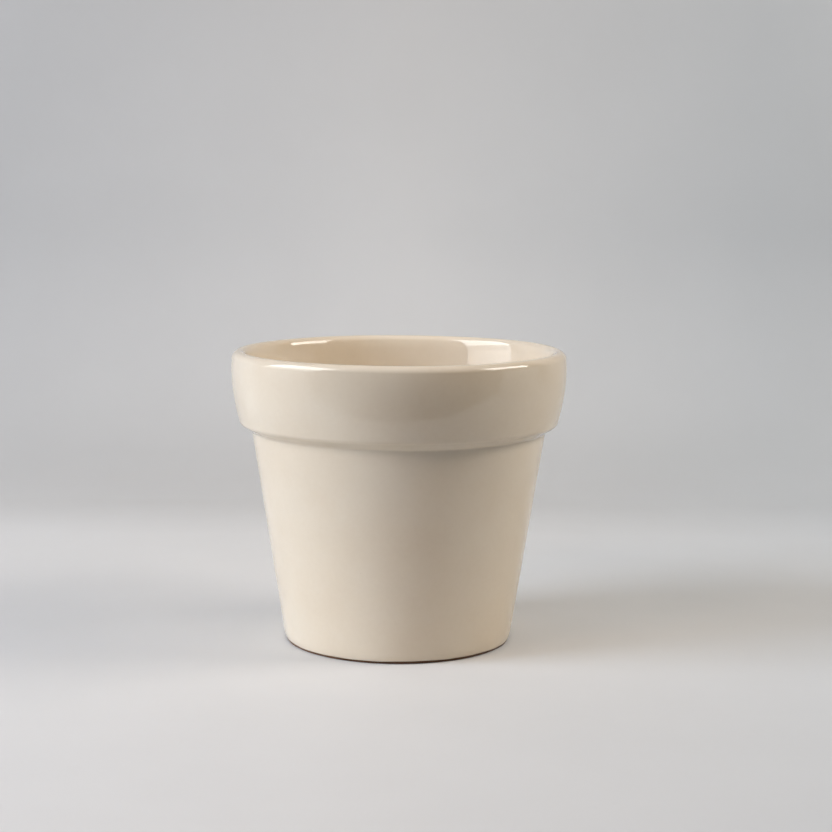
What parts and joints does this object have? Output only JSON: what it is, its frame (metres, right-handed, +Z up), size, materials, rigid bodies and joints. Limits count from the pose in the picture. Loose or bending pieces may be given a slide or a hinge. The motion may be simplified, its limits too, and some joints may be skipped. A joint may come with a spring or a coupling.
{
  "type": "flower pot",
  "caption": "Round glazed earthenware plant pot with a deep rolled collar, a tapered body, a bare foot ring and a drain hole.",
  "frame": {"origin": "on the ground, at the centre of the foot ring", "axes": "+Z up along the pot's axis, from the foot to the rim; the pot is a surface of revolution, so +X and +Y are any two horizontal directions at right angles"},
  "size_m": [0.15, 0.15, 0.131],
  "materials": {
    "fired_clay": "matt, unglazed, fine grained red-brown earthenware",
    "cream_glaze": "glossy opaque ivory glaze"
  },
  "bodies": {
    "root": {"clay_body": "fired_clay", "glaze_coat": "cream_glaze"}
  },
  "joints": []
}
